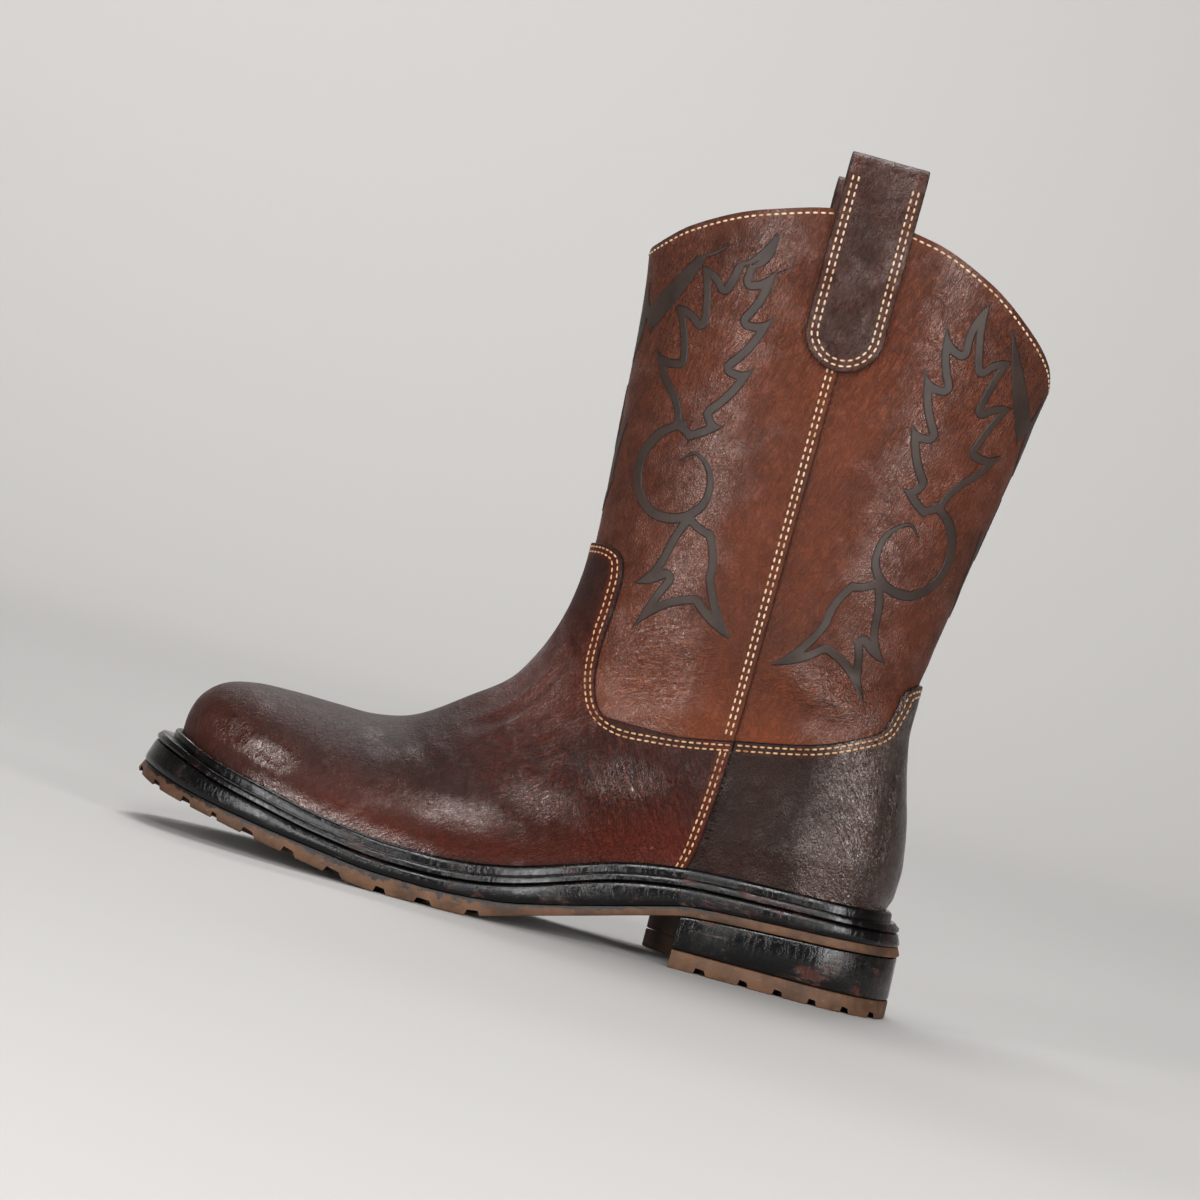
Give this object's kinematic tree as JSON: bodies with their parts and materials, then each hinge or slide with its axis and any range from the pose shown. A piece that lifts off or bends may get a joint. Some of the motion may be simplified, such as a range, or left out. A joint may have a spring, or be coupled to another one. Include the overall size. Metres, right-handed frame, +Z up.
{
  "type": "western work boot",
  "caption": "Left pull-on western work boot with a tall scalloped leather shaft, pull straps and a lugged rubber sole.",
  "frame": {"origin": "centre of the heel lift's contact face, on the floor", "axes": "+Z up, toe towards -X and heel towards +X, the outer (lateral) side of this left boot towards -Y"},
  "size_m": [0.308, 0.1088, 0.3196],
  "materials": {
    "shaft_leather": "waxed, finely wrinkled red-brown",
    "vamp_leather": "burnished dark red-brown, glossy",
    "counter_leather": "burnished near-black brown, glossy and crackled",
    "strap_leather": "semi-matte dark brown",
    "black_rubber": "satin black, scuffed brown",
    "gum_rubber": "matte brown",
    "insole_leather": "matte tan"
  },
  "bodies": {
    "root": {"upper": "shaft_leather", "vamp": "vamp_leather", "heel_counter": "counter_leather", "pull_strap_lateral": "strap_leather", "pull_strap_medial": "strap_leather", "insole": "insole_leather", "welt": "black_rubber", "midsole": "black_rubber", "outsole": "gum_rubber", "heel_block": "black_rubber", "heel_lift": "gum_rubber"}
  },
  "joints": []
}
